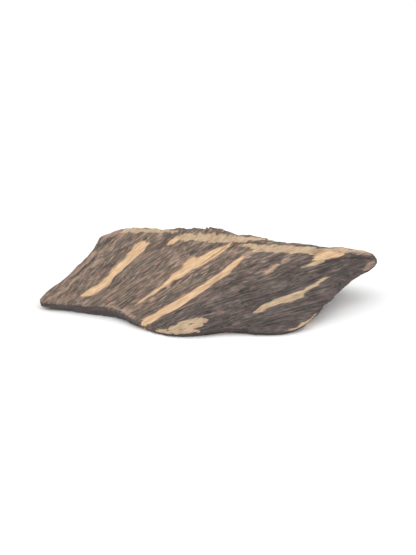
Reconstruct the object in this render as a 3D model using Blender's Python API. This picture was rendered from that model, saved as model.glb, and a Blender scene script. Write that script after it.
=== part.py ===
"""A hewn chip of agarwood, lying on the flat face that it was split along.

Metres, +Z up. +X runs along the chip, from its left tip to its right tip, and +Y from the thin
front edge to the thick back edge. The origin is on the resting face, under the middle of the chip.

The chip is made as a carver makes it. A slab with the outline of the chip is shaved by flat knife
cuts, and its edges are worn a little. Then gouge strokes hollow its faces, and the fibres leave
ribs along the grain and torn ledges on the steep sides.
"""

import math

import bmesh
import bpy
from mathutils import Vector, noise

# Driving dimensions, in metres
LENGTH = 46.0e-3
WIDTH = 24.2e-3
HEIGHT = 7.6e-3

# The rest is drawn in millimetres, and fitted to the dimensions above at the end.
SLAB_HEIGHT = 9.0
RIM_HEIGHT = 1.0
FOOT_SCALE = 0.95
CORNER_CUTS = 2
CORNER_SHARE = 0.25
EDGE_WEAR = 0.28
EDGE_SEGMENTS = 2
FLAT_ANGLE = math.radians(0.5)
SHARP_ANGLE = math.radians(11.0)
CUT_SNAP = 0.0001
RULE_SNAP = 0.02

# How the slab's wall leans as it rises, in millimetres for each millimetre of height.
UPRIGHT = (0.0, 0.0)
LEFT_LEAN = (0.28, -0.18)
BACK_LEAN = (0.0, -0.36)
SHARP = True
SOFT = False

# The slab's outline at its rim, counter-clockwise from the left tip: place, lean of the wall
# there, and whether it is a corner or a soft bend.
OUTLINE = (
    (-22.5, -1.0, UPRIGHT, SHARP),
    (-22.85, -2.2, UPRIGHT, SHARP),
    (-17.5, -4.0, UPRIGHT, SOFT),
    (-12.2, -5.0, UPRIGHT, SOFT),
    (-9.5, -8.6, UPRIGHT, SOFT),
    (-5.8, -12.2, UPRIGHT, SOFT),
    (-1.4, -12.4, UPRIGHT, SOFT),
    (3.2, -10.8, UPRIGHT, SOFT),
    (9.2, -12.1, UPRIGHT, SOFT),
    (12.5, -10.7, UPRIGHT, SOFT),
    (14.3, -8.0, UPRIGHT, SOFT),
    (16.9, -4.7, UPRIGHT, SOFT),
    (17.4, -2.6, UPRIGHT, SOFT),
    (19.0, -0.7, UPRIGHT, SOFT),
    (20.5, 0.9, UPRIGHT, SOFT),
    (22.5, 1.0, UPRIGHT, SOFT),
    (23.0, 2.8, UPRIGHT, SHARP),
    (22.0, 6.5, BACK_LEAN, SOFT),
    (14.8, 7.2, BACK_LEAN, SOFT),
    (6.6, 8.3, BACK_LEAN, SOFT),
    (-1.0, 10.1, BACK_LEAN, SOFT),
    (-7.8, 12.3, BACK_LEAN, SOFT),
    (-15.4, 12.2, LEFT_LEAN, SHARP),
    (-18.1, 5.6, LEFT_LEAN, SOFT),
    (-20.2, 2.0, LEFT_LEAN, SOFT),
    (-21.4, 1.0, LEFT_LEAN, SOFT),
)

# Knife cuts: a point on the cut face, and the way the face looks.
CUTS = {
    "broad face, left": ((0.0, -3.7, 3.90), (-0.155, -0.333, 1.0)),
    "broad face, right": ((0.0, -3.7, 4.38), (0.065, -0.436, 1.0)),
    "ridge top": ((6.5, 6.2, 7.35), (0.100, 0.150, 1.0)),
    "left shoulder": ((-13.3, 10.1, 6.50), (-0.50, 0.42, 0.75)),
    "under the left tip": ((-15.5, -3.0, 0.0), (-0.055, -0.012, -1.0)),
    "under the right tip": ((11.9, 0.0, 0.0), (0.440, -0.015, -1.0)),
}

# The fibres spread from this place, which lies off the left front of the chip.
GRAIN_CENTRE = Vector((-44.0, -32.0))
GRAIN_RADIUS = 54.0
GRAIN_ANGLE = math.radians(36.0)

# The faces are ruled into small pieces along and across the fibres, so that they can be shaped.
RULED_ACROSS = 0.66
RULED_ALONG = 1.30
RULED_UP = 1.0

# Gouge strokes along the fibres: middle, half length, half width and depth.
STROKES = {
    "left tip": ((-18.4, -0.6, 2.2), 5.0, 1.5, 0.22),
    "left of the middle": ((-12.6, -0.9, 3.2), 8.0, 2.0, 0.30),
    "below the rim, left": ((-6.0, 6.0, 6.3), 5.5, 2.0, 0.28),
    "below the rim, right": ((7.8, 4.4, 6.9), 4.5, 1.5, 0.30),
    "front bulge": ((2.4, -8.6, 2.3), 5.5, 1.9, 0.34),
    "right of the middle": ((9.8, -3.0, 4.2), 7.0, 2.0, 0.34),
    "right blade": ((17.2, 1.0, 5.2), 5.0, 1.5, 0.28),
    "back, left": ((-11.5, 12.4, 2.2), 4.5, 2.6, 0.60),
    "back, middle": ((-1.6, 9.6, 4.6), 4.5, 2.2, 0.65),
    "back, low": ((5.2, 8.4, 1.8), 4.0, 2.0, 0.50),
    "back, right": ((13.2, 7.0, 3.8), 4.5, 2.0, 0.55),
    "left end": ((-17.6, 7.4, 3.4), 4.0, 2.2, 0.45),
    "under the right tip": ((17.0, 2.6, 1.8), 5.0, 1.8, 0.40),
    "right edge": ((16.2, -5.2, 1.6), 2.5, 1.3, 0.35),
}

# Ribs of the fibres, and ledges where layers of wood tore away on the steep sides.
RIB_HEIGHT = 0.13
RIB_LENGTH = 11.0
RIB_WIDTH = 1.9
FINE_RIB_SHARE = 0.45
FINE_RIB_LENGTH = 5.5
FINE_RIB_WIDTH = 0.83
LEDGE_DEPTH = 0.34
LEDGE_THICKNESS = 1.5
LEDGE_LENGTH = 7.0
LEDGE_SWAY = 1.6
LEDGE_TILT = 0.30
LEDGE_EDGE = 0.7

# The sides steeper than this are torn, further back than this. The upward share of a surface's
# direction stands for its slope, and its place in Y for how far back it is.
STEEP_FROM = 0.80
STEEP_TO = 0.35
TORN_FROM = 1.0
TORN_TO = 5.0
RESTING = 0.02

WOOD_COLOUR = (0.188, 0.141, 0.112, 1.0)
WOOD_ROUGHNESS = 0.62


def cut_corners(points):
    """The outline with each soft bend rounded off, by cutting its corner a few times over."""
    for _ in range(CORNER_CUTS):
        rounded = []
        for i, (here, kind) in enumerate(points):
            before = points[i - 1][0]
            after = points[(i + 1) % len(points)][0]
            if kind == SHARP:
                rounded.append((here, kind))
                continue
            rounded.append((here.lerp(before, CORNER_SHARE), kind))
            rounded.append((here.lerp(after, CORNER_SHARE), kind))
        points = rounded
    return [place for place, _ in points]


def slab():
    """The rough slab: rings of corners at the foot, the rim and the top, with walls between."""
    outline = cut_corners([(Vector((x, y, *lean)), kind) for x, y, lean, kind in OUTLINE])
    rise = SLAB_HEIGHT - RIM_HEIGHT
    bm = bmesh.new()
    foot = [bm.verts.new((p[0] * FOOT_SCALE, p[1] * FOOT_SCALE, 0.0)) for p in outline]
    rim = [bm.verts.new((p[0], p[1], RIM_HEIGHT)) for p in outline]
    top = [bm.verts.new((p[0] + p[2] * rise, p[1] + p[3] * rise, SLAB_HEIGHT)) for p in outline]
    bm.faces.new(foot[::-1])
    bm.faces.new(top)
    for lower, upper in ((foot, rim), (rim, top)):
        for i in range(len(outline)):
            bm.faces.new((lower[i - 1], lower[i], upper[i], upper[i - 1]))
    return bm


def shave(bm, point, normal):
    """One knife cut: drops what stands outside the plane, and closes the wood there."""
    cut = bmesh.ops.bisect_plane(
        bm,
        geom=bm.verts[:] + bm.edges[:] + bm.faces[:],
        dist=CUT_SNAP,
        plane_co=point,
        plane_no=Vector(normal).normalized(),
        clear_outer=True,
    )
    edges = [e for e in cut["geom_cut"] if isinstance(e, bmesh.types.BMEdge)]
    bmesh.ops.edgenet_fill(bm, edges=edges)
    bmesh.ops.dissolve_limit(
        bm, angle_limit=FLAT_ANGLE, verts=bm.verts, edges=bm.edges, delimit=set()
    )


def wear_edges(bm):
    """Takes the keenness off every edge between two faces."""
    edges = [e for e in bm.edges if e.calc_face_angle(0.0) > SHARP_ANGLE]
    bmesh.ops.bevel(
        bm,
        geom=edges,
        offset=EDGE_WEAR,
        offset_type="OFFSET",
        segments=EDGE_SEGMENTS,
        profile=0.5,
        affect="EDGES",
        clamp_overlap=True,
        material=-1,
    )


def rule(bm, direction, spacing):
    """Rules lines over the whole surface, square to this direction, without taking wood away."""
    places = [vert.co.dot(direction) for vert in bm.verts]
    for i in range(math.ceil(min(places) / spacing), math.floor(max(places) / spacing) + 1):
        bmesh.ops.bisect_plane(
            bm,
            geom=bm.verts[:] + bm.edges[:] + bm.faces[:],
            dist=RULE_SNAP,
            plane_co=direction * (i + 0.5) * spacing,
            plane_no=direction,
        )


def grain_place(place):
    """Where a point lies in the wood: along the fibres, across them, and up through them."""
    spread = place.xy - GRAIN_CENTRE
    angle = math.atan2(spread.y, spread.x) - GRAIN_ANGLE
    return Vector((spread.length - GRAIN_RADIUS, angle * GRAIN_RADIUS, place.z))


def smooth_between(low, high, value):
    share = min(max((value - low) / (high - low), 0.0), 1.0)
    return share * share * (3.0 - 2.0 * share)


def stroke_depth(place):
    """How deep the gouge strokes go at this place in the wood."""
    depth = 0.0
    for middle, half_length, half_width, most in STROKES.values():
        away = place - grain_place(Vector(middle))
        share = (away.x / half_length) ** 2 + (away.y**2 + away.z**2) / half_width**2
        if share < 1.0:
            depth += most * (1.0 - share) ** 2
    return depth


def ledge_depth(place):
    """How far the layers of wood have torn back, in steps from layer to layer."""
    sway = noise.noise(place / LEDGE_LENGTH)
    layer = (place.z + place.y * LEDGE_TILT) / LEDGE_THICKNESS + sway * LEDGE_SWAY
    whole = math.floor(layer)
    stretch = math.floor(place.x / LEDGE_LENGTH + sway)
    torn = noise.cell(Vector((whole, stretch, 0.0)))
    torn_next = noise.cell(Vector((whole + 1, stretch, 0.0)))
    step = smooth_between(LEDGE_EDGE, 1.0, layer - whole)
    return LEDGE_DEPTH * (torn + (torn_next - torn) * step)


def rib_height(place):
    """How far the ribs of the fibres stand up or lie back at this place in the wood."""
    wide = Vector((place.x / RIB_LENGTH, place.y / RIB_WIDTH, place.z / RIB_WIDTH))
    fine = Vector((place.x / FINE_RIB_LENGTH, place.y / FINE_RIB_WIDTH, place.z / FINE_RIB_WIDTH))
    return RIB_HEIGHT * (noise.noise(wide) + FINE_RIB_SHARE * noise.noise(fine))


def work_surface(bm):
    """Gouges and tears the ruled surface, all but the flat face that the chip rests on."""
    bm.normal_update()
    moves = {}
    for vert in bm.verts:
        if vert.co.z < RESTING:
            continue
        place = grain_place(vert.co)
        torn = smooth_between(STEEP_FROM, STEEP_TO, abs(vert.normal.z))
        torn *= smooth_between(TORN_FROM, TORN_TO, vert.co.y)
        depth = stroke_depth(place) + torn * ledge_depth(place) - rib_height(place)
        moves[vert] = vert.normal * -depth
    for vert, move in moves.items():
        vert.co += move
        vert.co.z = max(vert.co.z, 0.0)


def fit(bm):
    """Brings the drawn chip to its size in metres, over the origin."""
    low = Vector([min(vert.co[axis] for vert in bm.verts) for axis in range(3)])
    high = Vector([max(vert.co[axis] for vert in bm.verts) for axis in range(3)])
    middle = (low + high) / 2
    bmesh.ops.translate(bm, vec=(-middle.x, -middle.y, -low.z), verts=bm.verts)
    size = high - low
    scale = (LENGTH / size.x, WIDTH / size.y, HEIGHT / size.z)
    bmesh.ops.scale(bm, vec=scale, verts=bm.verts)


def wood():
    material = bpy.data.materials.new("agarwood")
    material.use_nodes = True
    shader = material.node_tree.nodes["Principled BSDF"]
    shader.inputs["Base Color"].default_value = WOOD_COLOUR
    shader.inputs["Roughness"].default_value = WOOD_ROUGHNESS
    return material


def main():
    for obj in list(bpy.data.objects):
        bpy.data.objects.remove(obj)
    bm = slab()
    for point, normal in CUTS.values():
        shave(bm, point, normal)
    wear_edges(bm)
    along = Vector((math.cos(GRAIN_ANGLE), math.sin(GRAIN_ANGLE), 0.0))
    across = Vector((-along.y, along.x, 0.0))
    rule(bm, across, RULED_ACROSS)
    rule(bm, along, RULED_ALONG)
    rule(bm, Vector((0.0, 0.0, 1.0)), RULED_UP)
    bmesh.ops.triangulate(bm, faces=bm.faces)
    work_surface(bm)
    fit(bm)
    mesh = bpy.data.meshes.new("agarwood_chip")
    bm.to_mesh(mesh)
    bm.free()
    mesh.materials.append(wood())
    chip = bpy.data.objects.new("agarwood_chip", mesh)
    bpy.context.scene.collection.objects.link(chip)


if __name__ == "__main__":
    main()
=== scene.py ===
"""The looks of one hewn chip of agarwood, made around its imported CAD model.

The chip keeps the shape and the place of its CAD node. Its surface is divided finely, and then
worked as the wood was: fibres stand up along the grain, pores and tears open, layers break off
at the torn sides, and pale streaks of wood without resin lie a little lower than the dark ground.

Lengths inside the functions are in millimetres unless they say otherwise, and the finished
pieces are in metres.
"""

import math
import random
from itertools import product

import bmesh
import bpy
import numpy as np
from bpy.props import FloatProperty, FloatVectorProperty, IntProperty, PointerProperty
from bpy.types import Operator, Panel, PropertyGroup
from mathutils import Color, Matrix, Quaternion, Vector, noise
from mathutils.bvhtree import BVHTree


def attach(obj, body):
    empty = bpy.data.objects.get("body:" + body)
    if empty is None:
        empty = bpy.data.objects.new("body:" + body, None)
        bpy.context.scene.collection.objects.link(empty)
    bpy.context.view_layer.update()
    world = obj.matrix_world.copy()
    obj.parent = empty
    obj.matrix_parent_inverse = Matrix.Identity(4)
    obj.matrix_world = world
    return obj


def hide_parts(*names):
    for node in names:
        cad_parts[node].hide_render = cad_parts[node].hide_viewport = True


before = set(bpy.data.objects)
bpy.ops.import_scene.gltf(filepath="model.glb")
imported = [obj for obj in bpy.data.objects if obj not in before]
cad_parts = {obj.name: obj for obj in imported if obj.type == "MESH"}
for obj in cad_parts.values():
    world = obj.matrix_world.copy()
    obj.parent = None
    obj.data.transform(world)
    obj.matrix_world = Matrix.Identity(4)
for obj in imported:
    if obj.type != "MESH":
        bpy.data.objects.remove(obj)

bl_info = {
    "name": "Agarwood chip",
    "version": (1, 0, 0),
    "blender": (4, 5, 0),
    "location": "3D View > Sidebar > Agarwood",
    "description": "Makes a hewn chip of agarwood with its fibres, tears and pale streaks",
    "category": "Add Mesh",
}

CHIP_NODE = "agarwood_chip"
BODY = "root"
MM = 0.001

# The fibres spread from this place, as they do in the CAD model.
GRAIN_CENTRE = (-44.4, -31.7)
GRAIN_RADIUS = 54.0
GRAIN_ANGLE = math.radians(36.0)

# How closely the fibres follow the upper faces, from 0, level, to 1, along them, and how far they
# wander across and up.
FIBRES_FOLLOW_TOP = 0.7
MIDDLE_HEIGHT = 4.5
WANDER_ACROSS = 0.45
WANDER_UP = 0.35

# The two broad upper faces: height above the middle of the chip, and slope along x and along y.
UPPER_FACES = ((5.12, 0.151, 0.332), (5.95, -0.063, 0.434))
LEAST_HEIGHT = 0.8

# On the torn sides the wood parts in slats, whose thickness is this share of their width.
SLAT_SHARE = 0.32

# Before the surface is worked: how near points of the CAD mesh are joined, and how often and how
# far points of the even mesh are eased towards their neighbours.
MERGE_DISTANCE = 0.001 * MM
EASING_PASSES = 5
EASING_SHARE = 0.5

# A ray that looks for wood above a point starts this far over it.
CLEARANCE = 0.2

# A point stands out by how far it lies from the surface evened this often. A spike is drawn in from
# the first distance to its neighbours' mean, and wholly at the second.
EVENING_PASSES = 6
SPIKE_PASSES = 8
SPIKE_LIMITS = (0.035, 0.08)

# Pairs of limits: the values where something begins and where it is complete. These are read
# from the normal's share upwards, and from its share towards the back.
UPRIGHT = (0.80, 0.35)
STEEPER_THAN_TOP = (0.95, 0.82)
TO_THE_TOP = (-0.2, 0.2)
TO_THE_FLOOR = (0.0, -0.5)
TO_THE_BACK = (0.1, 0.6)
TO_THE_FRONT = (-0.1, -0.4)

# These are read from the place along the chip, and from how much wood lies above a point.
LEFT_END = (-12.0, -16.0)
# FRONT_WALL_END, with STEEPER_THAN_TOP, marks the front wall towards the left end, where shade is
# painted.
FRONT_WALL_END = (-7.0, -10.5)
OPEN_ABOVE = (0.5, 0.1)

# How torn the left end is next to the back, how much of the shade painted on the front wall the torn
# sides get, and how low a point lies that rests on the floor.
LEFT_END_TORN = 0.7
TORN_SHADE_SHARE = 0.5
RESTING_HEIGHT = 0.03

# Where the resin begins and is dense, across the fibres, in two steps with their shares.
# The ground is also darkened by this field: partly the resin's colour, partly painted shade of the
# faces turned from the light.
RESIN_STEPS = ((0.55, (-0.5, -3.8)), (0.45, (-4.0, -9.0)))

# How much narrower a streak gets for each millimetre of wood above it, and how much on the
# underside; the streaks of the back narrow by as much as BACK_ONLY elsewhere.
BRIGHT_NARROWS = 0.25
DULL_NARROWS = 0.20
FAINT_NARROWS = 0.15
UNDERSIDE_NARROWS = 1.5
BACK_ONLY = 2.0

# Noises that are added up, each with height, length, width and part: ribs of the fibres and
# of the slats on the torn sides, in rib heights, and how far fibres pull out the streaks' ends.
FIBRE_RIBS = ((1.0, 9.0, 0.85, 0.0), (0.6, 5.0, 0.45, 5.0), (0.35, 2.6, 0.26, 8.0))
SLAT_RIBS = ((1.2, 7.0, 0.60, 31.0), (0.7, 3.5, 0.26, 35.0))
PULLS = ((0.75, 9.0, 0.30, 90.0), (0.55, 5.0, 0.17, 95.0))

# How much higher the slats stand than the fibres, and the share of the pull that the dull and
# faint streaks get.
SLAT_HEIGHT = 1.6
CALM_SHARE = 0.4

# Pale layers inside the wood show where the tables below give no streaks: the level of the noise
# where one begins, how sharply, and how little the noise changes upwards.
LAYER_LEVEL = 0.40
LAYER_SHARPNESS = 3.0
LAYER_UPWARDS = 0.4

# The torn layers of the sides: thickness, length, tilt, wander, and depth of the ledges between.
LEDGE_THICKNESS = 0.55
LEDGE_LENGTH = 3.2
LEDGE_TILT = 0.35
LEDGE_WANDER = 1.2
LEDGE_DEPTH = 0.18

# Splinters: how far their bundles sway, their length, and the width and share of each size.
SPLINTER_SWAY = 0.45
SPLINTER_LENGTH = 40.0
SPLINTER_SIZES = ((0.62, 0.65), (0.24, 0.35))

# Slivers torn out: lengths, half widths, depths as shares of the greatest, limits of the step at
# the end, as shares of the length, limits of the sides, as shares of the half width squared, and
# how far a point may stand out, so that no tear cuts into an edge.
TEAR_LENGTHS = (1.2, 5.5)
TEAR_HALF_WIDTHS = (0.12, 0.34)
TEAR_DEPTH_SHARES = (0.3, 1.0)
TEAR_END = (1.0, 0.94)
TEAR_SIDES = (1.0, 0.35)
TEAR_OFF_EDGES = (0.10, 0.03)

# In a bright streak a tear is only this share as deep, and these are the limits of its edge.
TEAR_IN_PALE = 0.3
TEAR_PALE_LIMITS = (-0.35, 0.10)

# Hairline cracks: half lengths, drift across the fibres, how far one reaches along, across and up,
# its width and depth, and the distance that stands for no crack.
CRACK_HALF_LENGTHS = (1.5, 4.5)
CRACK_DRIFTS = (-0.05, 0.05)
CRACK_ENDS = (1.0, 0.6)
CRACK_ACROSS = (0.5, 0.3)
CRACK_UP = (1.2, 0.6)
CRACK_WIDTH = (0.16, 0.0)
CRACK_DEPTH = 0.10
NO_CRACK = 10.0

# Limits and depths of the other hollows: the channels of the streaks, the creases, and nicks,
# which lie only where a point stands out. A resting point is moved by less, and only inwards.
CHANNEL_LIMITS = (0.05, -0.45)
DULL_CHANNEL_SHARE = 0.4
CREASE_LIMITS = (0.12, -0.12)
NICK_LIMITS = (0.15, 0.6)
NICK_EDGES = (0.05, 0.12)
NICK_DEPTH = 0.10
RESTING_SHARE = 0.5

# A bundle of fibres keeps its level up to this share of its width, and then steps.
BUNDLE_STEP = 0.55

# The stage: floor, even light from all round, and lights with place, size and power, in metres.
FLOOR_ROUGHNESS = 0.9
FLOOR_SHINE = 0.1
WORLD_STRENGTH = 1.05
LIGHTS = {
    "key": ((-0.30, 0.28, 0.78), 1.80, 2.8),
    "fill": ((0.50, -0.50, 0.55), 0.60, 1.2),
}

# The camera: its place and the point it faces, in millimetres, the width of its sensor, and the
# nearest and farthest it sees, in metres.
CAMERA_PLACE = (9.29, -463.9, 190.0)
CAMERA_TARGET = (0.0, 0.0, 3.8)
SENSOR_WIDTH = 36.0
SEEN_FROM = 0.01
SEEN_TO = 20.0

# Streaks on the upper faces: place along each one's middle line, and half its width. The bright
# ones are bare pale wood, the dull ones have some resin in them, and the faint ones have more.
BRIGHT_STREAKS = {
    "first": (
        (-17.2, -2.1, 0.46), (-15.1, -1.0, 0.57), (-13.8, 0.3, 0.57), (-12.5, 2.2, 0.63),
        (-11.0, 3.9, 0.72), (-9.7, 5.6, 0.88), (-9.1, 6.6, 0.83),
    ),
    "second": (
        (-9.3, -4.9, 0.14), (-7.8, -3.7, 0.23), (-6.4, -2.6, 0.29), (-5.0, -1.3, 0.40),
        (-3.8, -0.3, 0.84), (-2.5, 0.7, 0.78), (-1.3, 1.6, 1.04), (0.3, 2.5, 0.76),
        (1.6, 3.3, 0.66), (2.3, 3.9, 0.44), (2.8, 4.3, 0.18),
    ),
    "second, lobe": ((-3.3, 1.4, 0.24), (-2.4, 2.1, 0.44), (-1.7, 2.8, 0.26)),
    "third": (
        (-8.1, -8.8, 0.78), (-6.6, -7.7, 0.66), (-4.2, -6.3, 0.74), (-1.8, -4.7, 0.60),
        (0.4, -2.8, 0.60), (2.4, -1.3, 0.65), (3.8, 0.4, 0.50), (4.6, 1.2, 0.30), (5.2, 1.8, 0.14),
    ),
    "short one under the rim": ((-5.5, 6.3, 0.20), (-4.8, 6.9, 0.48), (-4.3, 7.2, 0.46)),
    # The rim band along the crest: pale wood, and partly a painted highlight where the crest catches
    # the light.
    "rim, right": ((14.8, 1.9, 0.50), (15.7, 2.6, 0.90), (16.9, 2.9, 0.70), (18.2, 3.1, 0.34)),
}
DULL_STREAKS = {
    "front patch, upper": (
        (-3.6, -10.0, 0.34), (-2.3, -9.9, 0.48), (-1.1, -9.9, 0.52), (-0.3, -9.7, 0.36),
    ),
    "front patch, middle": (
        (-4.7, -10.6, 0.34), (-3.1, -10.7, 0.50), (-1.6, -10.8, 0.52), (-0.9, -10.6, 0.45),
    ),
    "front patch, lower": (
        (-6.5, -10.7, 0.26), (-5.3, -11.2, 0.36), (-4.0, -11.5, 0.46), (-2.5, -11.7, 0.50),
        (-1.3, -11.7, 0.40),
    ),
    "fifth": ((7.3, -1.8, 0.06), (8.0, -1.0, 0.19), (8.8, -0.1, 0.20), (9.5, 0.6, 0.08)),
    "right edge": (
        (9.4, -11.8, 0.08), (10.6, -11.4, 0.26), (11.9, -10.6, 0.35), (13.4, -9.2, 0.35),
        (14.8, -7.6, 0.22),
    ),
    "fourth": (
        (6.1, -8.1, 0.12), (7.0, -7.6, 0.32), (8.2, -6.7, 0.45), (9.8, -5.8, 0.58),
        (11.2, -5.1, 0.72), (12.1, -4.6, 0.63), (13.0, -3.9, 0.32), (14.3, -2.9, 0.31),
        (15.4, -1.9, 0.24), (16.0, -1.2, 0.10),
    ),
    # The rim bands along the crest, down to the tail: wood with some resin, and partly a painted
    # highlight where the crest catches the light.
    "rim, left": (
        (-12.0, 10.0, 0.34), (-9.8, 9.9, 0.46), (-8.0, 9.4, 0.54), (-6.2, 8.9, 0.40),
        (-4.4, 8.3, 0.16),
    ),
    "rim": (
        (-4.3, 7.2, 0.47), (-2.7, 6.8, 0.51), (-0.7, 6.2, 0.62), (2.3, 5.3, 0.66), (4.8, 4.9, 0.60),
        (6.8, 5.3, 0.40), (8.4, 5.3, 0.12),
    ),
    "rim, right": (
        (4.8, 3.6, 0.10), (6.8, 3.4, 0.50), (8.8, 3.3, 0.78), (11.3, 3.1, 0.60), (13.5, 3.2, 0.48),
        (15.0, 3.1, 0.62), (16.0, 3.2, 0.80), (17.5, 3.7, 0.43), (19.2, 3.9, 0.46), (20.4, 3.8, 0.36),
        (21.2, 3.6, 0.14),
    ),
    "rim, tail": ((15.2, 1.7, 0.43), (14.3, 1.0, 0.38), (13.5, 0.5, 0.28), (12.7, 0.1, 0.14)),
}
FAINT_STREAKS = {
    "second, lower end": ((-9.7, -5.2, 0.14), (-7.8, -3.7, 0.28), (-6.0, -2.2, 0.34)),
    "third, upper end": ((4.8, 1.4, 0.24), (5.8, 2.4, 0.20), (6.6, 3.2, 0.12)),
    "fifth, edge": ((7.4, -1.6, 0.24), (8.4, -0.6, 0.44), (9.4, 0.5, 0.26)),
    "fifth, upper": ((10.0, 0.9, 0.05), (10.8, 1.8, 0.10), (11.5, 2.5, 0.07)),
    "left edge, low": ((-21.5, -1.4, 0.22), (-20.3, -0.8, 0.32), (-19.2, 0.1, 0.28)),
    "left edge, middle": ((-18.7, 0.9, 0.26), (-17.7, 2.0, 0.33), (-17.0, 2.6, 0.10)),
    "left edge, high": ((-16.3, 3.4, 0.21), (-15.2, 4.4, 0.31), (-14.5, 5.1, 0.10)),
    "left edge, outer": ((-16.1, 5.7, 0.22), (-15.6, 6.4, 0.28)),
    "left shoulder": ((-14.9, 8.4, 0.24), (-14.0, 9.4, 0.33), (-12.6, 9.9, 0.40)),
    "left shoulder, inner": ((-13.5, 6.4, 0.15), (-13.0, 7.7, 0.22)),
    "lip of the front edge": (
        (-14.0, -4.4, 0.17), (-12.5, -5.2, 0.27), (-11.0, -6.4, 0.26), (-9.7, -7.7, 0.17),
    ),
    "trail of the front patch": ((0.5, -9.1, 0.19), (1.1, -8.5, 0.26), (2.1, -8.1, 0.24)),
    "fourth, upper end": ((14.6, -2.7, 0.34), (15.8, -1.4, 0.22), (16.6, -0.8, 0.12)),
    # Pale wood at the crest's tip, and partly a painted highlight where the crest catches the light.
    "rim, tip": ((19.8, 3.6, 0.50), (21.0, 3.6, 0.46), (21.9, 3.1, 0.25)),
    "right tip": ((20.9, 0.5, 0.22), (21.6, 1.0, 0.40), (22.4, 1.9, 0.34)),
}

# Pale layers that show on the torn back: place along the chip, height, and half the thickness.
BACK_STREAKS = {
    "below the shoulder": (
        (-13.0, 4.3, 0.10), (-11.4, 4.5, 0.24), (-9.0, 4.4, 0.20), (-7.2, 4.6, 0.08),
    ),
    "left, low": ((-12.4, 1.6, 0.08), (-10.6, 1.5, 0.18), (-7.6, 1.7, 0.22), (-5.4, 1.6, 0.10)),
    "middle, high": ((-4.4, 5.7, 0.08), (-2.6, 5.6, 0.20), (0.6, 5.7, 0.26), (3.0, 5.5, 0.12)),
    "middle, low": ((-1.6, 2.4, 0.06), (0.6, 2.3, 0.16), (2.4, 2.4, 0.10)),
    "right, high": (
        (7.2, 5.0, 0.10), (9.4, 5.1, 0.24), (12.4, 4.9, 0.28), (15.4, 5.1, 0.16),
        (16.8, 5.1, 0.06),
    ),
    "right, low": ((6.4, 1.2, 0.08), (8.8, 1.3, 0.20), (10.6, 1.2, 0.12)),
}

# Creases in the upper faces, with painted shade along their bottoms: place along each one, and half
# its width.
CREASES = {
    "under the rim": ((4.6, 4.1, 0.10), (6.3, 4.3, 0.20), (8.1, 4.5, 0.14)),
    "under the right rim": (
        (15.0, 0.9, 0.08), (16.5, 1.7, 0.20), (18.0, 2.3, 0.24), (19.7, 2.5, 0.24),
        (21.2, 2.5, 0.22), (22.0, 2.4, 0.10),
    ),
    "behind the front patch": ((-1.4, -8.7, 0.16), (-0.4, -8.5, 0.32), (0.5, -8.3, 0.12)),
}

# Where the surface lies a little off the CAD model: place, reach each way, and how far it moves.
SWELLS = {
    "left shoulder": ((-15.0, 9.4, 6.2), (2.8, 2.6, 3.0), (-0.20, 0.15, 0.20)),
    "rim, left": ((-9.0, 10.4, 6.9), (4.6, 2.6, 3.4), (0.0, 0.70, 0.20)),
    "rim, middle": ((-2.6, 8.6, 7.3), (5.4, 2.3, 3.4), (0.0, 0.50, 0.34)),
    "rim, right of the middle": ((1.6, 7.6, 7.5), (4.2, 2.4, 3.4), (0.0, 0.80, 1.20)),
    "rim, before the right end": ((8.0, 6.4, 7.1), (5.4, 1.9, 3.4), (0.0, 0.56, 0.52)),
    "rim, right": ((19.6, 4.9, 5.8), (4.0, 1.8, 2.4), (0.0, 0.40, 0.20)),
    "front wall, left": ((-18.8, -3.6, 0.3), (3.2, 1.5, 1.8), (0.0, 0.50, 0.0)),
    "front edge, middle": ((3.6, -11.2, 0.2), (3.4, 1.2, 1.2), (0.0, 0.20, 0.0)),
}


def screen_colour(red, green, blue):
    """A colour given as it shows on a screen, from 0 to 255, as Blender's linear values."""
    linear = []
    for level in (red / 255.0, green / 255.0, blue / 255.0):
        if level <= 0.04045:
            linear.append(level / 12.92)
        else:
            linear.append(((level + 0.055) / 1.055) ** 2.4)
    return tuple(linear)


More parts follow.
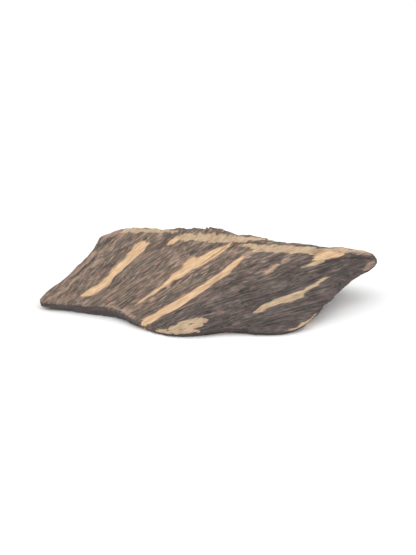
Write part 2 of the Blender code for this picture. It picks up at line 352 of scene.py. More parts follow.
class ChipSettings(PropertyGroup):
    """Sizes and colours of the chip's surface."""

    spacing: FloatProperty(
        name="Surface spacing",
        description="Size of the small faces that the surface is divided into",
        default=0.152 * MM,
        unit="LENGTH",
        precision=5,
    )
    rib_height: FloatProperty(
        name="Rib height",
        description="How far the coarse ribs of the fibres stand up",
        default=0.13 * MM,
        unit="LENGTH",
        precision=5,
    )
    channel_depth: FloatProperty(
        name="Channel depth",
        description="How deep the pale streaks lie below the dark ground",
        default=0.10 * MM,
        unit="LENGTH",
        precision=5,
    )
    # The creases are also given painted shade along their bottoms, in the material.
    crease_depth: FloatProperty(
        name="Crease depth",
        description="How deep the dark creases are",
        default=0.16 * MM,
        unit="LENGTH",
        precision=5,
    )
    tear_count: IntProperty(
        name="Tears",
        description="How many slivers of wood have torn out of the surface",
        default=170,
    )
    tear_depth: FloatProperty(
        name="Tear depth",
        description="How deep the deepest torn slivers are",
        default=0.20 * MM,
        unit="LENGTH",
        precision=5,
    )
    splinter_step: FloatProperty(
        name="Splinter step",
        description="How far the broken fibres stand before one another on the torn sides",
        default=0.95 * MM,
        unit="LENGTH",
        precision=5,
    )
    crack_count: IntProperty(
        name="Cracks",
        description="How many hairline cracks run along the fibres",
        default=16,
    )
    seed: IntProperty(
        name="Seed",
        description="Number that the random places start from",
        default=7,
    )
    resin_dark: FloatVectorProperty(
        name="Resin, dark",
        description="Strands of wood that are full of resin",
        default=screen_colour(70, 60, 56),
        subtype="COLOR",
    )
    ground_grey: FloatVectorProperty(
        name="Ground, greenish",
        description="Wood with a little resin, where it looks greenish grey",
        default=screen_colour(120, 108, 93),
        subtype="COLOR",
    )
    ground_brown: FloatVectorProperty(
        name="Ground, brown",
        description="Wood with a little resin, where it looks pinkish brown",
        default=screen_colour(138, 112, 97),
        subtype="COLOR",
    )
    resin_grey: FloatVectorProperty(
        name="Resin, grey",
        description="Wood with much resin, where it looks grey",
        default=screen_colour(112, 104, 98),
        subtype="COLOR",
    )
    resin_brown: FloatVectorProperty(
        name="Resin, brown",
        description="Wood with much resin, where it looks purplish brown",
        default=screen_colour(120, 101, 97),
        subtype="COLOR",
    )
    # Painted shade: the dark colour that the front wall and the torn sides are blended towards, as if
    # in shade.
    wall_shade: FloatVectorProperty(
        name="Sides",
        description="Dark wood of the front wall and the torn sides",
        default=screen_colour(77, 71, 70),
        subtype="COLOR",
    )
    speck: FloatVectorProperty(
        name="Specks",
        description="Short pale dashes along the grain",
        default=screen_colour(180, 151, 132),
        subtype="COLOR",
    )
    pale: FloatVectorProperty(
        name="Pale wood",
        description="Streaks of wood without resin",
        default=screen_colour(221, 187, 146),
        subtype="COLOR",
    )
    pale_edge: FloatVectorProperty(
        name="Pale wood, edge",
        description="Where a pale streak meets the resin",
        default=screen_colour(178, 143, 111),
        subtype="COLOR",
    )
    pale_pink: FloatVectorProperty(
        name="Pale wood, pinkish",
        description="Places in the pale streaks that look pinkish",
        default=screen_colour(214, 170, 140),
        subtype="COLOR",
    )
    dull: FloatVectorProperty(
        name="Dull wood",
        description="Streaks that the resin has begun to enter",
        default=screen_colour(190, 167, 133),
        subtype="COLOR",
    )
    dull_pink: FloatVectorProperty(
        name="Dull wood, pinkish",
        description="Places in the dull streaks that look pinkish",
        default=screen_colour(189, 154, 131),
        subtype="COLOR",
    )


class StageSettings(PropertyGroup):
    """Floor, lights and camera."""

    floor_side: FloatProperty(
        name="Floor side",
        description="Length of each side of the floor",
        default=6.0,
        unit="LENGTH",
    )
    floor_colour: FloatVectorProperty(
        name="Floor colour",
        description="Plain pale floor",
        default=screen_colour(246, 246, 246),
        subtype="COLOR",
    )
    lens: FloatProperty(
        name="Lens",
        description="Focal length of the camera, in millimetres",
        default=239.7,
        unit="CAMERA",
    )
    roll: FloatProperty(
        name="Roll",
        description="How far the camera is turned about its line of sight",
        default=math.radians(-0.42),
        unit="ROTATION",
    )


def mm(length):
    """A length in metres as millimetres."""
    return length / MM


def smooth_between(low, high, values):
    """0 where a value is at low, 1 where it is at high, smooth between; low may be the larger."""
    share = np.clip((values - low) / (high - low), 0.0, 1.0)
    return share * share * (3.0 - 2.0 * share)


def fibre_noise(grain, length, width, part=0.0):
    """Noise from about -1 to 1, drawn out along the fibres; another part is another pattern."""
    scaled = grain / np.array((length, width, width)) + part
    return np.array([noise.noise(place) for place in scaled.tolist()])


def summed_noise(grain, noises):
    """Several noises of the fibres added up."""
    total = 0.0
    for height, length, width, part in noises:
        total = total + height * fibre_noise(grain, length, width, part)
    return total


def upper_height(places):
    """How high the broad upper faces lie at each point, also carried on past the edges."""
    faces = []
    for level, along_x, along_y in UPPER_FACES:
        faces.append(level + along_x * places[:, 0] + along_y * places[:, 1])
    return np.maximum(np.min(faces, axis=0), LEAST_HEIGHT)


def grain_places(places):
    """Where points lie in the wood: along the fibres, across them, and up through them."""
    spread = places[:, :2] - np.array(GRAIN_CENTRE)
    along = np.hypot(spread[:, 0], spread[:, 1]) - GRAIN_RADIUS
    across = (np.arctan2(spread[:, 1], spread[:, 0]) - GRAIN_ANGLE) * GRAIN_RADIUS
    grain = np.stack((along, across, places[:, 2]), axis=1)
    height = upper_height(places)
    grain[:, 2] *= 1.0 - FIBRES_FOLLOW_TOP * (height - MIDDLE_HEIGHT) / height
    grain[:, 1] += WANDER_ACROSS * fibre_noise(grain, length=16.0, width=7.0, part=3.1)
    grain[:, 2] += WANDER_UP * fibre_noise(grain, length=16.0, width=7.0, part=9.4)
    return grain


def fibre_directions(places):
    """The way that the fibres run at each point, level, and away from where they spread from."""
    spread = places[:, :2] - np.array(GRAIN_CENTRE)
    directions = np.zeros_like(places)
    directions[:, :2] = spread / np.linalg.norm(spread, axis=1)[:, None]
    return directions


def streak_distance(places, streaks):
    """How far points lie outside the nearest streak, seen from above; less than 0 is inside."""
    nearest = np.full(len(places), np.inf)
    flat = places[:, :2]
    for line in streaks.values():
        for (x0, y0, w0), (x1, y1, w1) in zip(line, line[1:]):
            start = np.array((x0, y0))
            run = np.array((x1, y1)) - start
            share = np.clip((flat - start) @ run / (run @ run), 0.0, 1.0)
            away = np.linalg.norm(flat - start - share[:, None] * run, axis=1)
            nearest = np.minimum(nearest, away - (w0 + (w1 - w0) * share))
    return nearest


def neighbour_mean(values, edges):
    """The mean of each point's neighbours, for numbers or for vectors."""
    total = np.zeros_like(values)
    np.add.at(total, edges[:, 0], values[edges[:, 1]])
    np.add.at(total, edges[:, 1], values[edges[:, 0]])
    count = np.bincount(edges.ravel(), minlength=len(values))
    if values.ndim == 2:
        count = count[:, None]
    return total / count


def without_spikes(places, edges):
    """The same points, but with those drawn in that stand far out from their neighbours."""
    for _ in range(SPIKE_PASSES):
        mean = neighbour_mean(places, edges)
        away = np.linalg.norm(places - mean, axis=1)
        places = places + (mean - places) * smooth_between(*SPIKE_LIMITS, away)[:, None]
    return places


def chip_blank(spacing):
    """The CAD chip's shape in millimetres, divided into even small faces and eased a little."""
    bm = bmesh.new()
    bm.from_mesh(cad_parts[CHIP_NODE].data)
    bmesh.ops.remove_doubles(bm, verts=bm.verts, dist=MERGE_DISTANCE)
    bmesh.ops.scale(bm, vec=(1.0 / MM, 1.0 / MM, 1.0 / MM), verts=bm.verts)
    mesh = bpy.data.meshes.new("blank")
    bm.to_mesh(mesh)
    bm.free()
    blank = bpy.data.objects.new("blank", mesh)
    bpy.context.scene.collection.objects.link(blank)
    remesh = blank.modifiers.new("Even faces", "REMESH")
    remesh.mode = "VOXEL"
    remesh.voxel_size = spacing
    evened = blank.evaluated_get(bpy.context.evaluated_depsgraph_get())
    bm = bmesh.new()
    bm.from_mesh(evened.to_mesh())
    evened.to_mesh_clear()
    bpy.data.objects.remove(blank)
    bpy.data.meshes.remove(mesh)
    for _ in range(EASING_PASSES):
        bmesh.ops.smooth_vert(
            bm, verts=bm.verts, factor=EASING_SHARE, use_axis_x=True, use_axis_y=True, use_axis_z=True
        )
    return bm


def swell(bm):
    """Moves the surface out where SWELLS says so, less and less away from each one's place."""
    places = np.array([vert.co[:] for vert in bm.verts])
    moves = np.zeros_like(places)
    for middle, reach, move in SWELLS.values():
        away = (((places - np.array(middle)) / np.array(reach)) ** 2).sum(axis=1)
        moves += np.clip(1.0 - away, 0.0, 1.0)[:, None] ** 2 * np.array(move)
    for vert, place in zip(bm.verts, (places + moves).tolist()):
        vert.co = place


def wood_above(bm, places):
    """How much wood lies straight above each point."""
    tree = BVHTree.FromBMesh(bm)
    up = Vector((0.0, 0.0, 1.0))
    buried = np.zeros(len(places))
    for i, (x, y, z) in enumerate(places.tolist()):
        above = tree.ray_cast(Vector((x, y, z + CLEARANCE)), up)[0]
        if above is not None:
            buried[i] = above.z - z
    return buried


class ChipPoints:
    """The points of the chip's surface, and what the work on them goes by."""

    def __init__(self, bm):
        self.places = np.array([vert.co[:] for vert in bm.verts])
        self.normals = np.array([vert.normal[:] for vert in bm.verts])
        self.edges = np.array([[vert.index for vert in edge.verts] for edge in bm.edges])
        self.buried = wood_above(bm, self.places)
        self.grain = grain_places(self.places)
        self.slats = self.grain * np.array((1.0, SLAT_SHARE, 1.0))
        self.fibres = fibre_directions(self.places)
        self.resting = self.places[:, 2] < RESTING_HEIGHT

        upright = smooth_between(*UPRIGHT, np.abs(self.normals[:, 2]))
        self.behind = smooth_between(*TO_THE_BACK, self.normals[:, 1]) * upright
        left_end = smooth_between(*LEFT_END, self.places[:, 0]) * upright
        self.torn = np.maximum(self.behind, LEFT_END_TORN * left_end)
        self.forward = smooth_between(*TO_THE_FRONT, self.normals[:, 1])
        self.front = self.forward * upright
        self.on_top = smooth_between(*OPEN_ABOVE, self.buried)
        self.on_top *= smooth_between(*TO_THE_TOP, self.normals[:, 2])

    def standing_out(self):
        """How far each point stands out from the evened surface; less than 0 in a hollow."""
        even = self.places
        for _ in range(EVENING_PASSES):
            even = neighbour_mean(even, self.edges)
        return np.einsum("ij,ij->i", self.places - even, self.normals)


def cells(grain, length, width):
    """A steady random number from 0 to 1 for each bundle of fibres, with soft steps between."""
    scaled = grain / np.array((length, width, width))
    first = np.floor(scaled)
    share = smooth_between(BUNDLE_STEP, 1.0, scaled - first)
    total = np.zeros(len(grain))
    for corner in product((0, 1), repeat=3):
        bundles = (first + np.array(corner)).tolist()
        value = np.array([noise.cell(Vector(bundle)) for bundle in bundles])
        weight = np.ones(len(grain))
        for axis, farther in enumerate(corner):
            weight = weight * (share[:, axis] if farther else 1.0 - share[:, axis])
        total += value * weight
    return total


def inner_layers(points):
    """How far points lie outside the pale layers in the wood, away from the sides that show."""
    layered = points.grain * np.array((1.0, 1.0, LAYER_UPWARDS))
    layers = fibre_noise(layered, length=11.0, width=1.5, part=21.7)
    layers = (LAYER_LEVEL - layers) * LAYER_SHARPNESS
    covered = np.maximum(np.maximum(points.on_top, points.front), points.torn)
    return layers + LAYER_SHARPNESS * covered


def streak_fields(points):
    """How far points lie outside the bright, the dull and the faint streaks, and in a crease."""
    pull = summed_noise(points.grain, PULLS)
    ragged = points.places + points.fibres * pull[:, None]
    calm = points.places + CALM_SHARE * points.fibres * pull[:, None]
    x, y, z = points.places.T
    on_back = np.stack((x + pull, z, y), axis=1)
    below = smooth_between(*TO_THE_FLOOR, points.normals[:, 2])

    bright = streak_distance(ragged, BRIGHT_STREAKS) + BRIGHT_NARROWS * points.buried
    bright = np.minimum(bright, inner_layers(points))
    dull = streak_distance(calm, DULL_STREAKS) + DULL_NARROWS * points.buried
    dull = dull + UNDERSIDE_NARROWS * below
    back = streak_distance(on_back, BACK_STREAKS) + BACK_ONLY * (1.0 - points.behind)
    dull = np.minimum(dull, back)
    faint = streak_distance(calm, FAINT_STREAKS) + FAINT_NARROWS * points.buried
    faint = faint + UNDERSIDE_NARROWS * below
    crease = streak_distance(points.places, CREASES) + points.buried
    crease = smooth_between(*CREASE_LIMITS, crease)
    return {"bright": bright, "dull": dull, "faint": faint, "crease": crease}


def wood_fields(points):
    """Where the wood is full of resin, and where shade is painted on its sides."""
    resin = 0.0
    for share, limits in RESIN_STEPS:
        resin = resin + share * smooth_between(*limits, points.grain[:, 1])
    # Painted shade: the steep faces of the front wall, towards the left end, and less of it on the
    # torn sides.
    wall_shade = smooth_between(*STEEPER_THAN_TOP, points.normals[:, 2]) * points.forward
    left_front_shade = wall_shade * smooth_between(*FRONT_WALL_END, points.places[:, 0])
    side = np.maximum(left_front_shade, TORN_SHADE_SHARE * points.torn)
    return {"grain": points.grain, "torn": points.torn, "resin": resin, "side": side}


def torn_slivers(grain, settings):
    """How deep the slivers that tore out have left the surface: a ramp that ends in a step."""
    draw = random.Random(settings.seed)
    depth = np.zeros(len(grain))
    for _ in range(settings.tear_count):
        middle = grain[draw.randrange(len(grain))]
        length = draw.uniform(*TEAR_LENGTHS)
        half_width = draw.uniform(*TEAR_HALF_WIDTHS)
        deepest = mm(settings.tear_depth) * draw.uniform(*TEAR_DEPTH_SHARES)
        turn = draw.choice((-1.0, 1.0))
        away = grain - middle
        share = away[:, 0] * turn / length + 0.5
        across = (away[:, 1] ** 2 + away[:, 2] ** 2) / half_width**2
        ramp = np.clip(share, 0.0, 1.0) * smooth_between(*TEAR_END, share)
        depth = np.maximum(depth, deepest * ramp * smooth_between(*TEAR_SIDES, across))
    return depth


def hairline_cracks(grain, settings):
    """The signed distance across the nearest crack, and how strong that crack is there."""
    draw = random.Random(settings.seed + 1)
    distance = np.full(len(grain), NO_CRACK)
    strength = np.zeros(len(grain))
    for _ in range(settings.crack_count):
        middle = grain[draw.randrange(len(grain))]
        half_length = draw.uniform(*CRACK_HALF_LENGTHS)
        drift = draw.uniform(*CRACK_DRIFTS)
        away = grain - middle
        side = away[:, 1] - drift * away[:, 0]
        near = smooth_between(*CRACK_ENDS, np.abs(away[:, 0]) / half_length)
        near = near * smooth_between(*CRACK_ACROSS, np.abs(side))
        near = near * smooth_between(*CRACK_UP, np.abs(away[:, 2]))
        closer = near > strength
        distance = np.where(closer, side, distance)
        strength = np.where(closer, near, strength)
    return distance, strength


def ribs(points, settings):
    """How far the ribs of the fibres stand up, and those of the slats on the torn sides."""
    lift = summed_noise(points.grain, FIBRE_RIBS)
    slat_lift = summed_noise(points.slats, SLAT_RIBS)
    lift += (SLAT_HEIGHT * slat_lift - lift) * points.torn
    return lift * mm(settings.rib_height)


def ledges(points):
    """How deep the layers have broken away on the torn sides, each in steps along the fibres."""
    along, across, up = points.grain.T
    layer = (up + LEDGE_TILT * across) / LEDGE_THICKNESS
    layer = layer + LEDGE_WANDER * fibre_noise(points.grain, length=6.0, width=2.5, part=14.0)
    layered = np.stack((along, layer * LEDGE_THICKNESS, np.zeros_like(layer)), axis=1)
    return LEDGE_DEPTH * points.torn * cells(layered, LEDGE_LENGTH, LEDGE_THICKNESS)


def relief(points, fields, settings):
    """How far each point is moved out, along its normal; adds the cracks to the fields."""
    stands_out = points.standing_out()
    lift = ribs(points, settings) - ledges(points)

    kept = smooth_between(*TEAR_PALE_LIMITS, fields["bright"])
    kept = TEAR_IN_PALE + (1.0 - TEAR_IN_PALE) * kept
    tears = torn_slivers(points.grain, settings)
    lift -= tears * smooth_between(*TEAR_OFF_EDGES, stands_out) * kept

    channel = smooth_between(*CHANNEL_LIMITS, fields["bright"])
    channel = channel + DULL_CHANNEL_SHARE * smooth_between(*CHANNEL_LIMITS, fields["dull"])
    lift -= mm(settings.channel_depth) * channel
    lift -= mm(settings.crease_depth) * fields["crease"]

    crack, strength = hairline_cracks(points.grain, settings)
    strength *= 1.0 - points.torn
    lift -= CRACK_DEPTH * strength * smooth_between(*CRACK_WIDTH, np.abs(crack))
    fields["crack"] = crack
    fields["crack_strength"] = strength

    nick = fibre_noise(points.grain, length=0.9, width=0.5, part=40.0)
    nick = smooth_between(*NICK_LIMITS, nick)
    lift -= NICK_DEPTH * nick * smooth_between(*NICK_EDGES, stands_out)
    lift[points.resting] = RESTING_SHARE * np.minimum(lift[points.resting], 0.0)
    return lift


def splinters(points, settings):
    """How far each point of the torn sides is moved along the fibres, bundle by bundle."""
    sway = []
    for part in (50.0, 54.0, 58.0):
        sway.append(fibre_noise(points.slats, length=3.0, width=0.9, part=part))
    swaying = points.slats + SPLINTER_SWAY * np.stack(sway, axis=1)
    bundle = 0.0
    for width, share in SPLINTER_SIZES:
        bundle = bundle + share * cells(swaying, SPLINTER_LENGTH, width)
    facing = np.einsum("ij,ij->i", points.normals, points.fibres)
    step = mm(settings.splinter_step) * points.torn * facing * (bundle - 0.5)
    step[points.resting] = 0.0
    return step


def store(mesh, name, values):
    """Keeps one number or vector for each point of the mesh, for its material to read."""
    if values.ndim == 2:
        attribute = mesh.attributes.new(name, "FLOAT_VECTOR", "POINT")
        attribute.data.foreach_set("vector", values.astype(np.float32).ravel())
    else:
        attribute = mesh.attributes.new(name, "FLOAT", "POINT")
        attribute.data.foreach_set("value", values.astype(np.float32))


def make_chip(settings):
    """Builds the chip piece: a fine mesh, worked along the fibres, that stands for the CAD chip."""
    bm = chip_blank(mm(settings.spacing))
    swell(bm)
    bm.normal_update()
    points = ChipPoints(bm)
    fields = wood_fields(points)
    fields.update(streak_fields(points))
    lift = relief(points, fields, settings)
    # How deep each point lies; the material paints shade in the deeper hollows.
    fields["hollow"] = -lift

    moved = points.places + points.normals * lift[:, None]
    moved = moved + points.fibres * splinters(points, settings)[:, None]
    moved = without_spikes(moved, points.edges)
    moved[:, 2] = np.maximum(moved[:, 2], 0.0)
    for vert, place in zip(bm.verts, moved.tolist()):
        vert.co = place

    bmesh.ops.scale(bm, vec=(MM, MM, MM), verts=bm.verts)
    mesh = bpy.data.meshes.new("chip_surface")
    bm.to_mesh(mesh)
    bm.free()
    mesh.polygons.foreach_set("use_smooth", [True] * len(mesh.polygons))
    for name, values in fields.items():
        store(mesh, name, values)
    mesh.materials.append(wood_material(settings))
    chip = bpy.data.objects.new("chip_surface", mesh)
    bpy.context.scene.collection.objects.link(chip)
    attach(chip, BODY)
    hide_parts(CHIP_NODE)


class AGARWOOD_OT_chip(Operator):
    """Makes the chip's worked surface around its CAD node"""

    bl_idname = "agarwood.chip"
    bl_label = "Chip"

    def execute(self, context):
        make_chip(context.scene.agarwood_chip)
        return {"FINISHED"}


class NodeDesk:
    """Adds shader nodes to one material, and joins them."""

    def __init__(self, material):
        self.tree = material.node_tree
        self.grain = self.attribute("grain", "Vector")
        self.torn = self.attribute("torn")

    def add(self, kind, **settings):
        """A new node, with its settings given by name."""
        made = self.tree.nodes.new(kind)
        for name, value in settings.items():
            setattr(made, name, value)
        return made

    def join(self, source, socket):
        """Sets a socket to a number or colour, or links another node's output to it."""
        if isinstance(source, bpy.types.NodeSocket):
            self.tree.links.new(source, socket)
        elif isinstance(source, Color):
            socket.default_value = (*source, 1.0)
        else:
            socket.default_value = source

    def attribute(self, name, output="Fac"):
        """One of the fields that are stored for each point of the mesh."""
        return self.add("ShaderNodeAttribute", attribute_name=name).outputs[output]

    def math(self, operation, first, second=0.0, third=0.0):
        """A sum, product or the like; MULTIPLY_ADD is first times second plus third."""
        made = self.add("ShaderNodeMath", operation=operation)
        for socket, source in zip(made.inputs, (first, second, third)):
            self.join(source, socket)
        return made.outputs[0]

    def drawn_out(self, length, width, share, detail, part):
        """Noise from 0 to 1, long and wide as given, its thickness as a share of the width."""
        placed = self.add("ShaderNodeVectorMath", operation="MULTIPLY_ADD")
        self.join(self.grain, placed.inputs[0])
        placed.inputs[1].default_value = (1.0 / length, share / width, 1.0 / width)
        placed.inputs[2].default_value = (part, part, part)
        made = self.add("ShaderNodeTexNoise")
        self.join(placed.outputs[0], made.inputs["Vector"])
        made.inputs["Scale"].default_value = 1.0
        made.inputs["Detail"].default_value = detail
        return made.outputs["Fac"]

    def fibres(self, length, width, detail=2.0, part=0.0):
        """Noise from 0 to 1, drawn out along the fibres, and in slats on the torn sides."""
        made = self.add("ShaderNodeMix", data_type="FLOAT")
        self.join(self.torn, made.inputs["Factor"])
        self.join(self.drawn_out(length, width, 1.0, detail, part), made.inputs[2])
        self.join(self.drawn_out(length, width, SLAT_SHARE, detail, part), made.inputs[3])
        return made.outputs[0]

    def ramp(self, value, low, high, start=0.0, end=1.0):
        """Goes smoothly from start to end as the value goes from low to high."""
        made = self.add("ShaderNodeMapRange", interpolation_type="SMOOTHSTEP")
        self.join(value, made.inputs["Value"])
        made.inputs["From Min"].default_value = low
        made.inputs["From Max"].default_value = high
        made.inputs["To Min"].default_value = start
        made.inputs["To Max"].default_value = end
        return made.outputs["Result"]

    def centred(self, value, reach):
        """A value from 0 to 1 spread over the reach, half of it below 0 and half above."""
        return self.math("MULTIPLY_ADD", value, reach, -reach / 2)

    def blend(self, share, first, second):
        """Goes from the first colour to the second as the share goes from 0 to 1."""
        made = self.add("ShaderNodeMix", data_type="RGBA")
        self.join(share, made.inputs["Factor"])
        self.join(first, made.inputs[6])
        self.join(second, made.inputs[7])
        return made.outputs[2]

    def shade(self, colour, value):
        """The colour made darker or lighter, by the value times."""
        made = self.add("ShaderNodeVectorMath", operation="SCALE")
        self.join(colour, made.inputs[0])
        self.join(value, made.inputs["Scale"])
        return made.outputs[0]


class WoodPatterns:
    """The fields and noises that several parts of the chip's material share."""

    def __init__(self, desk):
        self.resin = desk.attribute("resin")
        self.lines = desk.fibres(length=7.0, width=0.16, part=24.0)
        self.fine = desk.fibres(length=4.5, width=0.085, part=8.0)
        self.long_lines = desk.fibres(length=16.0, width=0.13, detail=1.0, part=70.0)
        self.mottle = desk.fibres(length=1.1, width=0.55, detail=1.0, part=44.0)
        tint = desk.fibres(length=1.8, width=0.5, detail=1.0, part=80.0)
        self.tint = desk.ramp(tint, 0.36, 0.64)

        crowd = desk.fibres(length=5.0, width=1.3)
        crowd = desk.ramp(crowd, 0.32, 0.68, start=0.06, end=-0.06)
        self.crowd = desk.math("MULTIPLY_ADD", self.resin, -0.04, crowd)
        strands = desk.fibres(length=3.0, width=0.28, detail=2.5, part=4.0)
        self.strands = desk.ramp(desk.math("SUBTRACT", strands, self.crowd), 0.48, 0.57)

        feather = desk.centred(desk.fibres(length=2.6, width=0.15, part=20.0), 0.34)
        waver = desk.centred(desk.fibres(length=1.9, width=0.7, detail=1.0, part=52.0), 0.50)
        self.feather = desk.math("ADD", feather, waver)
        self.bright_field = desk.math("ADD", desk.attribute("bright"), self.feather)
        self.bright = desk.ramp(self.bright_field, 0.07, -0.07)

        pores = desk.ramp(desk.fibres(length=2.2, width=0.085, detail=1.0, part=12.0), 0.68, 0.75)
        pore_depth = desk.ramp(self.bright, 0.0, 1.0, start=0.60, end=0.25)
        self.pores = desk.math("MULTIPLY", pores, pore_depth)
        # Cracks darken the colour as painted shade, and sink the fine relief.
        crack_near = desk.ramp(desk.math("ABSOLUTE", desk.attribute("crack")), 0.05, 0.02)
        self.cracks = desk.math("MULTIPLY", crack_near, desk.attribute("crack_strength"))


def ground_colour(desk, patterns, settings):
    """The dark ground: greenish and brown wood, with strands of resin, threads and dashes, darker
    across the fibres towards the right partly as painted shade, and with painted shade on the front
    wall and the torn sides.
    """
    hue = desk.ramp(desk.fibres(length=1.3, width=0.60, part=30.0), 0.38, 0.62)
    plain = desk.blend(hue, settings.ground_grey, settings.ground_brown)
    rich = desk.blend(hue, settings.resin_grey, settings.resin_brown)
    ground = desk.blend(patterns.resin, plain, rich)
    ground = desk.shade(ground, desk.ramp(patterns.mottle, 0.32, 0.68, start=0.77, end=1.23))

    strand_depth = desk.ramp(patterns.resin, 0.0, 1.0, start=0.60, end=0.52)
    strand_share = desk.math("MULTIPLY", patterns.strands, strand_depth)
    ground = desk.blend(strand_share, ground, settings.resin_dark)
    threads = desk.fibres(length=2.0, width=0.13, part=36.0)
    threads = desk.math("SUBTRACT", threads, patterns.crowd)
    ground = desk.shade(ground, desk.ramp(threads, 0.50, 0.58, start=1.0, end=0.66))
    dashes = desk.ramp(desk.fibres(length=1.4, width=0.24, part=16.0), 0.57, 0.66)
    dash_strength = desk.ramp(patterns.resin, 0.0, 1.0, start=0.58, end=0.26)
    ground = desk.blend(desk.math("MULTIPLY", dashes, dash_strength), ground, settings.speck)

    ground = desk.shade(ground, desk.ramp(patterns.fine, 0.25, 0.75, start=0.82, end=1.18))
    ground = desk.shade(ground, desk.ramp(patterns.long_lines, 0.30, 0.62, start=0.70, end=1.10))
    coarse = desk.fibres(length=2.6, width=1.0, detail=1.0, part=58.0)
    ground = desk.shade(ground, desk.ramp(coarse, 0.34, 0.66, start=0.83, end=1.18))
    # Darker across the fibres towards the right end: partly the resin, partly painted shade of the
    # faces turned from the light.
    resin_and_painted_shade = desk.math("MULTIPLY_ADD", patterns.resin, -0.255, -0.14)
    resin_and_painted_shade = desk.math("MULTIPLY", patterns.resin, resin_and_painted_shade)
    ground = desk.shade(ground, desk.math("ADD", resin_and_painted_shade, 1.04))
    # Painted shade: the front wall and the torn sides are blended towards a dark shade colour.
    side_shade_share = desk.math("MULTIPLY", desk.attribute("side"), 0.84)
    return desk.blend(side_shade_share, ground, settings.wall_shade)


def pale_colour(desk, patterns, settings):
    """Wood without resin: browner towards the edges of a streak, and pinkish in places."""
    inward = desk.ramp(patterns.bright_field, 0.0, -0.22)
    pale = desk.blend(inward, settings.pale_edge, settings.pale)
    pale = desk.blend(desk.math("MULTIPLY", patterns.tint, 0.35), pale, settings.pale_pink)
    pale = desk.shade(pale, desk.ramp(patterns.lines, 0.32, 0.60, start=0.80, end=1.05))
    pale = desk.shade(pale, desk.ramp(patterns.long_lines, 0.30, 0.56, start=0.84, end=1.02))
    return desk.shade(pale, desk.ramp(patterns.mottle, 0.32, 0.68, start=0.92, end=1.03))


def dull_colour(desk, patterns, settings):
    """Wood that the resin has begun to enter."""
    dull = desk.math("MULTIPLY", patterns.tint, 0.60)
    dull = desk.blend(dull, settings.dull, settings.dull_pink)
    dull = desk.shade(dull, desk.ramp(patterns.mottle, 0.32, 0.68, start=0.88, end=1.10))
    return desk.shade(dull, desk.ramp(patterns.long_lines, 0.30, 0.60, start=0.88, end=1.05))


def streaked_colour(desk, patterns, settings):
    """The ground, with the faint, the dull and the bright streaks over it."""
    faint = desk.math("MULTIPLY_ADD", patterns.feather, 1.6, desk.attribute("faint"))
    faint_strength = desk.ramp(patterns.lines, 0.38, 0.56, start=0.15, end=0.62)
    faint = desk.math("MULTIPLY", desk.ramp(faint, 0.14, -0.14), faint_strength)
    dull = desk.math("MULTIPLY_ADD", patterns.feather, 1.3, desk.attribute("dull"))
    dull_strength = desk.ramp(patterns.lines, 0.34, 0.56, start=0.76, end=0.97)
    dull = desk.math("MULTIPLY", desk.ramp(dull, 0.10, -0.12), dull_strength)

    colour = ground_colour(desk, patterns, settings)
    colour = desk.blend(faint, colour, settings.speck)
    colour = desk.blend(dull, colour, dull_colour(desk, patterns, settings))
    return desk.blend(patterns.bright, colour, pale_colour(desk, patterns, settings))


def dark_pores_and_painted_shade(desk, patterns, colour):
    """The colour made darker in the pores, which are dark in the wood, and with painted shade in
    hollows, cracks and creases.
    """
    colour = desk.shade(colour, desk.math("SUBTRACT", 1.0, patterns.pores))
    # Painted shade in the hollows: the deeper a point lies, the darker.
    hollow = desk.ramp(desk.attribute("hollow"), 0.08, 0.28, start=1.0, end=0.70)
    colour = desk.shade(colour, hollow)
    # Painted shade along the cracks.
    colour = desk.shade(colour, desk.ramp(patterns.cracks, 0.0, 1.0, start=1.0, end=0.30))
    # Painted shade along the bottoms of the creases.
    crease = desk.ramp(desk.attribute("crease"), 0.2, 1.0, start=1.0, end=0.58)
    return desk.shade(colour, crease)


def roughness(desk, patterns):
    """Smoother on the strands of resin, and drier on the pale streaks."""
    rough = desk.ramp(patterns.strands, 0.0, 1.0, start=0.66, end=0.52)
    rough = desk.math("MULTIPLY_ADD", patterns.bright, 0.12, rough)
    return desk.math("MULTIPLY_ADD", patterns.fine, 0.08, rough)


def fine_relief(desk, patterns):
    """How high the finest fibres stand, with the pores and cracks between them."""
    raised = desk.math("MULTIPLY", patterns.lines, 0.7)
    for pattern, height in (
        (patterns.fine, 0.7),
        (patterns.strands, 0.35),
        (patterns.pores, -1.0),
        (patterns.bright, -0.4),
        (patterns.cracks, -2.0),
    ):
        raised = desk.math("MULTIPLY_ADD", pattern, height, raised)
    return raised


def wood_material(settings):
    """Dark resinous ground with strands, fibres, pores and specks, and pale streaks along it, with
    painted shade on the sides, in the hollows, and in part towards the right.
    """
    material = bpy.data.materials.new("agarwood")
    material.use_nodes = True
    desk = NodeDesk(material)
    patterns = WoodPatterns(desk)
    shader = material.node_tree.nodes["Principled BSDF"]
    colour = streaked_colour(desk, patterns, settings)
    desk.join(dark_pores_and_painted_shade(desk, patterns, colour), shader.inputs["Base Color"])
    desk.join(roughness(desk, patterns), shader.inputs["Roughness"])
    shader.inputs["Specular IOR Level"].default_value = 0.35
    bump = desk.add("ShaderNodeBump")
    bump.inputs["Strength"].default_value = 0.8
    bump.inputs["Distance"].default_value = 0.05 * MM
    desk.join(fine_relief(desk, patterns), bump.inputs["Height"])
    desk.join(bump.outputs["Normal"], shader.inputs["Normal"])
    return material


class AGARWOOD_OT_stage(Operator):
    """Makes the floor, the lights and the camera"""

    bl_idname = "agarwood.stage"
    bl_label = "Stage"

    def execute(self, context):
        make_floor(context.scene, context.scene.agarwood_stage)
        make_lights(context.scene)
        make_camera(context.scene, context.scene.agarwood_stage)
        return {"FINISHED"}


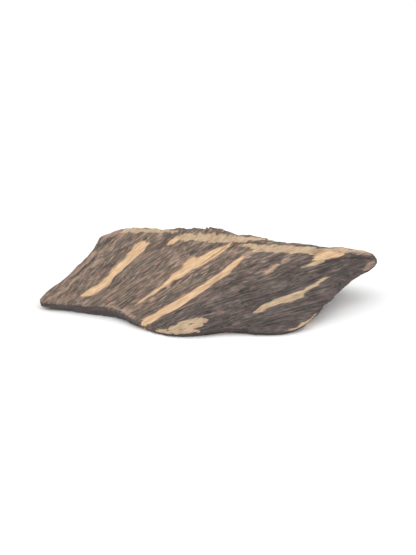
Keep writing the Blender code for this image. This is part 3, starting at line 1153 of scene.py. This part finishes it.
def make_floor(scene, settings):
    """Lays the plain pale floor that the chip rests on."""
    bm = bmesh.new()
    bmesh.ops.create_grid(bm, x_segments=1, y_segments=1, size=settings.floor_side / 2)
    mesh = bpy.data.meshes.new("floor")
    bm.to_mesh(mesh)
    bm.free()
    material = bpy.data.materials.new("floor")
    material.use_nodes = True
    shader = material.node_tree.nodes["Principled BSDF"]
    shader.inputs["Base Color"].default_value = (*settings.floor_colour, 1.0)
    shader.inputs["Roughness"].default_value = FLOOR_ROUGHNESS
    shader.inputs["Specular IOR Level"].default_value = FLOOR_SHINE
    mesh.materials.append(material)
    floor = bpy.data.objects.new("floor", mesh)
    scene.collection.objects.link(floor)


def make_lights(scene):
    """Sets the even light from all round, and the lights that face the chip."""
    world = bpy.data.worlds.new("soft light")
    world.use_nodes = True
    background = world.node_tree.nodes["Background"]
    background.inputs["Color"].default_value = (1.0, 1.0, 1.0, 1.0)
    background.inputs["Strength"].default_value = WORLD_STRENGTH
    scene.world = world
    for name, (place, size, power) in LIGHTS.items():
        data = bpy.data.lights.new(name, "AREA")
        data.size = size
        data.energy = power
        light = bpy.data.objects.new(name, data)
        light.location = place
        light.rotation_euler = (-Vector(place)).to_track_quat("-Z", "Y").to_euler()
        scene.collection.objects.link(light)


def make_camera(scene, settings):
    """Sets the camera where the photograph was taken from."""
    data = bpy.data.cameras.new("camera")
    data.lens = settings.lens
    data.sensor_width = SENSOR_WIDTH
    data.clip_start = SEEN_FROM
    data.clip_end = SEEN_TO
    camera = bpy.data.objects.new("camera", data)
    camera.location = [value * MM for value in CAMERA_PLACE]
    target = Vector([value * MM for value in CAMERA_TARGET])
    facing = (target - camera.location).to_track_quat("-Z", "Y")
    camera.rotation_euler = (facing @ Quaternion((0.0, 0.0, 1.0), settings.roll)).to_euler()
    scene.collection.objects.link(camera)
    scene.camera = camera
    scene.view_settings.view_transform = "Standard"


class AGARWOOD_PT_panel(Panel):
    """Lists the chip's pieces and settings"""

    bl_label = "Agarwood chip"
    bl_space_type = "VIEW_3D"
    bl_region_type = "UI"
    bl_category = "Agarwood"

    def draw(self, context):
        for operator, group in (
            (AGARWOOD_OT_chip, context.scene.agarwood_chip),
            (AGARWOOD_OT_stage, context.scene.agarwood_stage),
        ):
            box = self.layout.box()
            box.operator(operator.bl_idname)
            for name in group.__annotations__:
                box.prop(group, name)


CLASSES = (ChipSettings, StageSettings, AGARWOOD_OT_chip, AGARWOOD_OT_stage, AGARWOOD_PT_panel)


def register():
    for kind in CLASSES:
        bpy.utils.register_class(kind)
    bpy.types.Scene.agarwood_chip = PointerProperty(type=ChipSettings)
    bpy.types.Scene.agarwood_stage = PointerProperty(type=StageSettings)


def unregister():
    del bpy.types.Scene.agarwood_stage
    del bpy.types.Scene.agarwood_chip
    for kind in reversed(CLASSES):
        bpy.utils.unregister_class(kind)


def main():
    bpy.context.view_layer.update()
    register()
    bpy.ops.agarwood.chip()
    bpy.ops.agarwood.stage()


if __name__ == "__main__":
    main()
